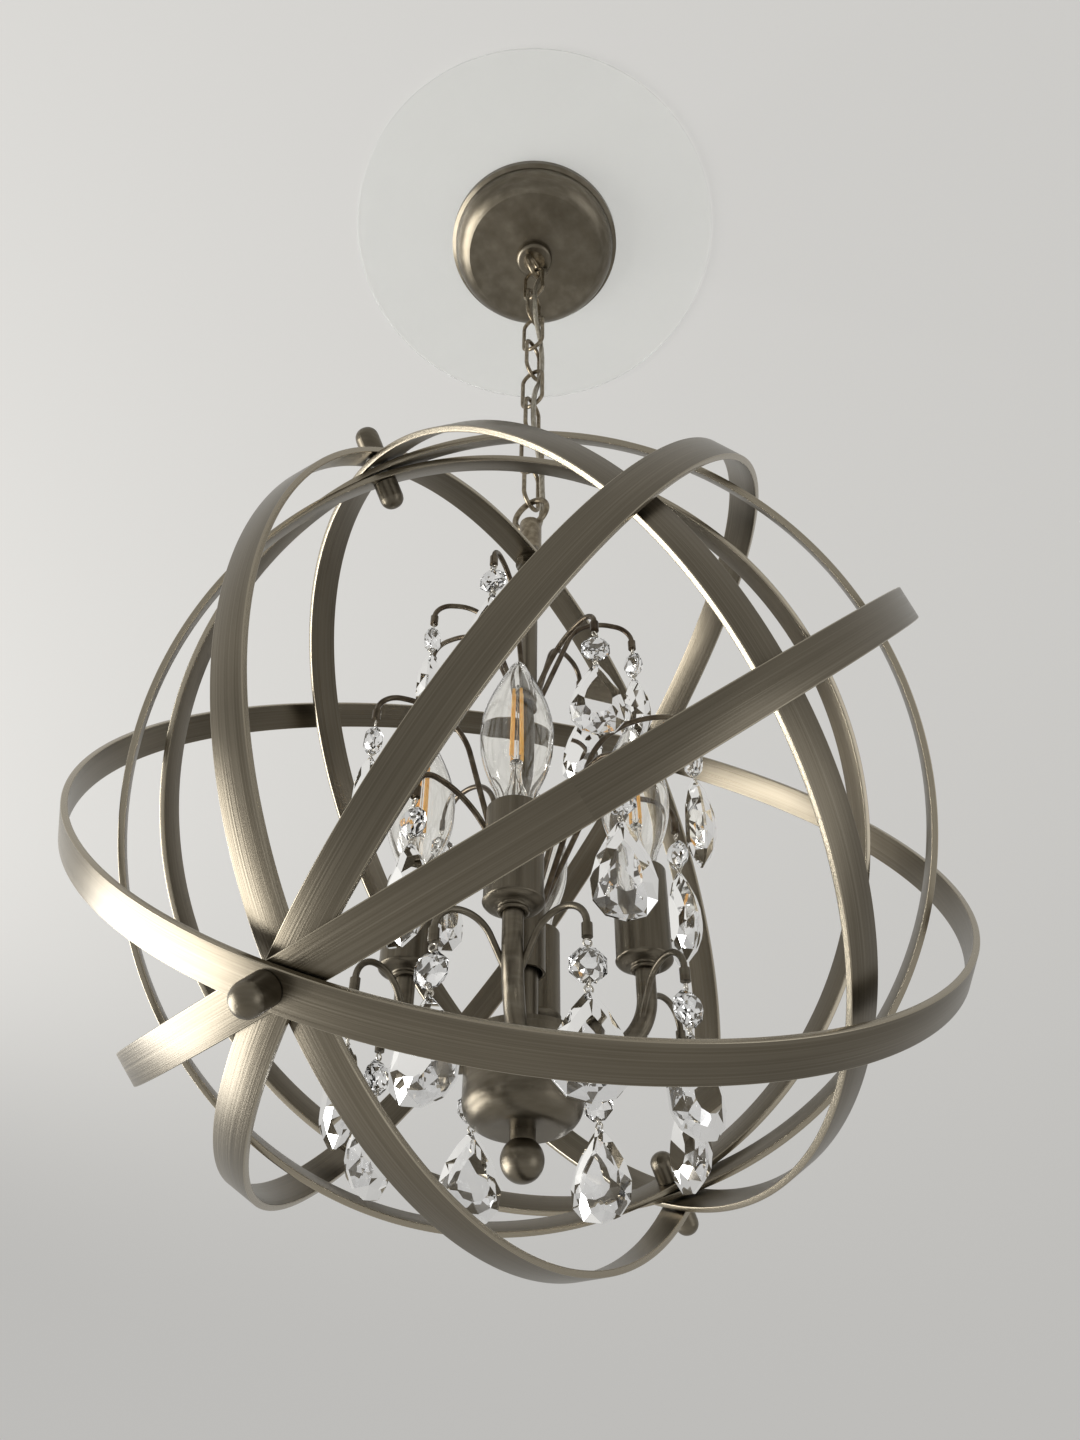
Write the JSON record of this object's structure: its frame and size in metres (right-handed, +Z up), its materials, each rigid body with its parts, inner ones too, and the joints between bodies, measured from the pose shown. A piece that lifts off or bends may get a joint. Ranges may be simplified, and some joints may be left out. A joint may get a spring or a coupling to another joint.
{
  "type": "orb chandelier",
  "caption": "Pendant chandelier: a ball-shaped cage of pivoting strap rings around upright candle lamps and hanging crystal drops, on a chain from a round ceiling canopy.",
  "frame": {"origin": "centre of the ceiling crossbar's two slots, on the ceiling plane", "axes": "+Z up into the ceiling; X along the crossbar and in the plane of the fixed ring; Y square to the fixed ring"},
  "size_m": [0.4099, 0.4228, 0.823],
  "materials": {
    "clear_disc": "clear",
    "zinc": "plated",
    "aged_brass": "satin, darkened",
    "brushed_strap": "coarsely brushed, darkened",
    "pivot_steel": "satin",
    "cord": "clear sheath over fine wires",
    "sleeve": "satin",
    "socket": "matt",
    "bulb_base": "bare",
    "bulb_glass": "clear",
    "filament": "glossy",
    "crystal": "polished facets"
  },
  "bodies": {
    "ceiling_kit": {"ceiling_disc": "clear_disc", "crossbar": "zinc", "canopy_pipe": "zinc", "canopy_nut": "zinc", "canopy": "aged_brass", "screw_collar": "aged_brass", "canopy_loop": "aged_brass", "cord_top": "cord"},
    "chain": {"chain_links": "aged_brass", "cord": "cord"},
    "frame": {"end_link": "aged_brass", "fixture_loop": "aged_brass", "cord_end": "cord", "stem": "aged_brass", "stem_fixings": "aged_brass", "frame_ring": "brushed_strap", "pivot_bolts": "pivot_steel", "pivot_knobs": "aged_brass", "pivot_spacers": "pivot_steel", "column": "aged_brass", "bowl": "aged_brass", "finial": "aged_brass", "upper_spray": "aged_brass", "middle_spray": "aged_brass", "arm_1": "aged_brass", "arm_2": "aged_brass", "arm_3": "aged_brass", "arm_4": "aged_brass", "candle_cups": "aged_brass", "candle_sleeves": "sleeve", "sockets": "socket", "bulb_bases": "bulb_base", "bulb_glass": "bulb_glass", "filaments": "filament"},
    "outer_ring_1": {"outer_ring_1": "brushed_strap"},
    "outer_ring_2": {"outer_ring_2": "brushed_strap"},
    "outer_ring_3": {"outer_ring_3": "brushed_strap"},
    "inner_ring_1": {"inner_ring_1": "brushed_strap"},
    "inner_ring_2": {"inner_ring_2": "brushed_strap"},
    "inner_ring_3": {"inner_ring_3": "brushed_strap"},
    "upper_strand_1": {"upper_strand_1": "crystal"},
    "upper_strand_2": {"upper_strand_2": "crystal"},
    "upper_strand_3": {"upper_strand_3": "crystal"},
    "upper_strand_4": {"upper_strand_4": "crystal"},
    "upper_strand_5": {"upper_strand_5": "crystal"},
    "upper_strand_6": {"upper_strand_6": "crystal"},
    "middle_strand_1": {"middle_strand_1": "crystal"},
    "middle_strand_2": {"middle_strand_2": "crystal"},
    "middle_strand_3": {"middle_strand_3": "crystal"},
    "middle_strand_4": {"middle_strand_4": "crystal"},
    "middle_strand_5": {"middle_strand_5": "crystal"},
    "middle_strand_6": {"middle_strand_6": "crystal"},
    "lower_strand_1": {"lower_strand_1": "crystal"},
    "lower_strand_2": {"lower_strand_2": "crystal"},
    "lower_strand_3": {"lower_strand_3": "crystal"},
    "lower_strand_4": {"lower_strand_4": "crystal"},
    "lower_strand_5": {"lower_strand_5": "crystal"},
    "lower_strand_6": {"lower_strand_6": "crystal"},
    "lower_strand_7": {"lower_strand_7": "crystal"},
    "lower_strand_8": {"lower_strand_8": "crystal"}
  },
  "joints": [
    {"name": "chain_swing", "type": "hinge", "parent": "ceiling_kit", "child": "chain", "pos_m": [0, 0, -0.053], "axis": [1, 0, 0], "range_deg": [-12, 12]},
    {"name": "frame_swing", "type": "hinge", "parent": "chain", "child": "frame", "pos_m": [0, 0, -0.322], "axis": [0, 1, 0], "range_deg": [-12, 12]},
    {"name": "outer_ring_1_turn", "type": "hinge", "parent": "frame", "child": "outer_ring_1", "pos_m": [0, 0, -0.618], "axis": [-0.7071, 0, -0.7071], "range_deg": [-47, 115]},
    {"name": "outer_ring_2_turn", "type": "hinge", "parent": "frame", "child": "outer_ring_2", "pos_m": [0, 0, -0.618], "axis": [-0.7071, 0, -0.7071], "range_deg": [-90.5, 71.5]},
    {"name": "outer_ring_3_turn", "type": "hinge", "parent": "frame", "child": "outer_ring_3", "pos_m": [0, 0, -0.618], "axis": [-0.7071, 0, -0.7071], "range_deg": [-119.5, 42.5]},
    {"name": "inner_ring_1_turn", "type": "hinge", "parent": "frame", "child": "inner_ring_1", "pos_m": [0, 0, -0.618], "axis": [-0.7071, 0, 0.7071], "range_deg": [-49.5, 112.5]},
    {"name": "inner_ring_2_turn", "type": "hinge", "parent": "frame", "child": "inner_ring_2", "pos_m": [0, 0, -0.618], "axis": [-0.7071, 0, 0.7071], "range_deg": [-94, 68]},
    {"name": "inner_ring_3_turn", "type": "hinge", "parent": "frame", "child": "inner_ring_3", "pos_m": [0, 0, -0.618], "axis": [-0.7071, 0, 0.7071], "range_deg": [-123, 39]},
    {"name": "upper_strand_1_swing", "type": "hinge", "parent": "frame", "child": "upper_strand_1", "pos_m": [-0.0538, -0.01144, -0.476], "axis": [-0.2079, 0.9781, 0], "range_deg": [-8, 20]},
    {"name": "upper_strand_2_swing", "type": "hinge", "parent": "frame", "child": "upper_strand_2", "pos_m": [-0.03292, 0.0453, -0.474], "axis": [0.809, 0.5878, 0], "range_deg": [-8, 20]},
    {"name": "upper_strand_3_swing", "type": "hinge", "parent": "frame", "child": "upper_strand_3", "pos_m": [-0.0069, 0.06564, -0.476], "axis": [0.9945, 0.1045, 0], "range_deg": [-8, 20]},
    {"name": "upper_strand_4_swing", "type": "hinge", "parent": "frame", "child": "upper_strand_4", "pos_m": [0.05999, 0.00105, -0.476], "axis": [0.0175, -0.9998, 0], "range_deg": [-8, 20]},
    {"name": "upper_strand_5_swing", "type": "hinge", "parent": "frame", "child": "upper_strand_5", "pos_m": [0.04756, -0.04282, -0.474], "axis": [-0.6691, -0.7431, 0], "range_deg": [-8, 20]},
    {"name": "upper_strand_6_swing", "type": "hinge", "parent": "frame", "child": "upper_strand_6", "pos_m": [-0.01984, -0.0545, -0.522], "axis": [-0.9397, 0.342, 0], "range_deg": [-8, 20]},
    {"name": "middle_strand_1_swing", "type": "hinge", "parent": "frame", "child": "middle_strand_1", "pos_m": [0.04793, -0.0738, -0.56], "axis": [-0.8387, -0.5446, 0], "range_deg": [-4, 25]},
    {"name": "middle_strand_2_swing", "type": "hinge", "parent": "frame", "child": "middle_strand_2", "pos_m": [0.06619, -0.05172, -0.6], "axis": [-0.6157, -0.788, 0], "range_deg": [-4, 25]},
    {"name": "middle_strand_3_swing", "type": "hinge", "parent": "frame", "child": "middle_strand_3", "pos_m": [-0.02101, -0.06467, -0.624], "axis": [-0.9511, 0.309, 0], "range_deg": [-4, 25]},
    {"name": "middle_strand_4_swing", "type": "hinge", "parent": "frame", "child": "middle_strand_4", "pos_m": [-0.06094, 0.05487, -0.564], "axis": [0.6691, 0.7431, 0], "range_deg": [-4, 25]},
    {"name": "middle_strand_5_swing", "type": "hinge", "parent": "frame", "child": "middle_strand_5", "pos_m": [-0.07043, 0.01497, -0.636], "axis": [0.2079, 0.9781, 0], "range_deg": [-4, 25]},
    {"name": "middle_strand_6_swing", "type": "hinge", "parent": "frame", "child": "middle_strand_6", "pos_m": [0.02634, 0.07236, -0.576], "axis": [0.9397, -0.342, 0], "range_deg": [-4, 25]},
    {"name": "lower_strand_1_swing", "type": "hinge", "parent": "frame", "child": "lower_strand_1", "pos_m": [0.07671, 0.00671, -0.72], "axis": [0.0872, -0.9962, 0], "range_deg": [-15, 5]},
    {"name": "lower_strand_2_swing", "type": "hinge", "parent": "frame", "child": "lower_strand_2", "pos_m": [0.04741, 0.06068, -0.72], "axis": [0.788, -0.6157, 0], "range_deg": [-15, 5]},
    {"name": "lower_strand_3_swing", "type": "hinge", "parent": "frame", "child": "lower_strand_3", "pos_m": [-0.00671, 0.07671, -0.72], "axis": [0.9962, 0.0872, 0], "range_deg": [-15, 5]},
    {"name": "lower_strand_4_swing", "type": "hinge", "parent": "frame", "child": "lower_strand_4", "pos_m": [-0.06068, 0.04741, -0.72], "axis": [0.6157, 0.788, 0], "range_deg": [-15, 5]},
    {"name": "lower_strand_5_swing", "type": "hinge", "parent": "frame", "child": "lower_strand_5", "pos_m": [-0.07671, -0.00671, -0.72], "axis": [-0.0872, 0.9962, 0], "range_deg": [-15, 5]},
    {"name": "lower_strand_6_swing", "type": "hinge", "parent": "frame", "child": "lower_strand_6", "pos_m": [-0.04741, -0.06068, -0.72], "axis": [-0.788, 0.6157, 0], "range_deg": [-15, 5]},
    {"name": "lower_strand_7_swing", "type": "hinge", "parent": "frame", "child": "lower_strand_7", "pos_m": [0.00671, -0.07671, -0.72], "axis": [-0.9962, -0.0872, 0], "range_deg": [-15, 5]},
    {"name": "lower_strand_8_swing", "type": "hinge", "parent": "frame", "child": "lower_strand_8", "pos_m": [0.06068, -0.04741, -0.72], "axis": [-0.6157, -0.788, 0], "range_deg": [-15, 5]}
  ]
}
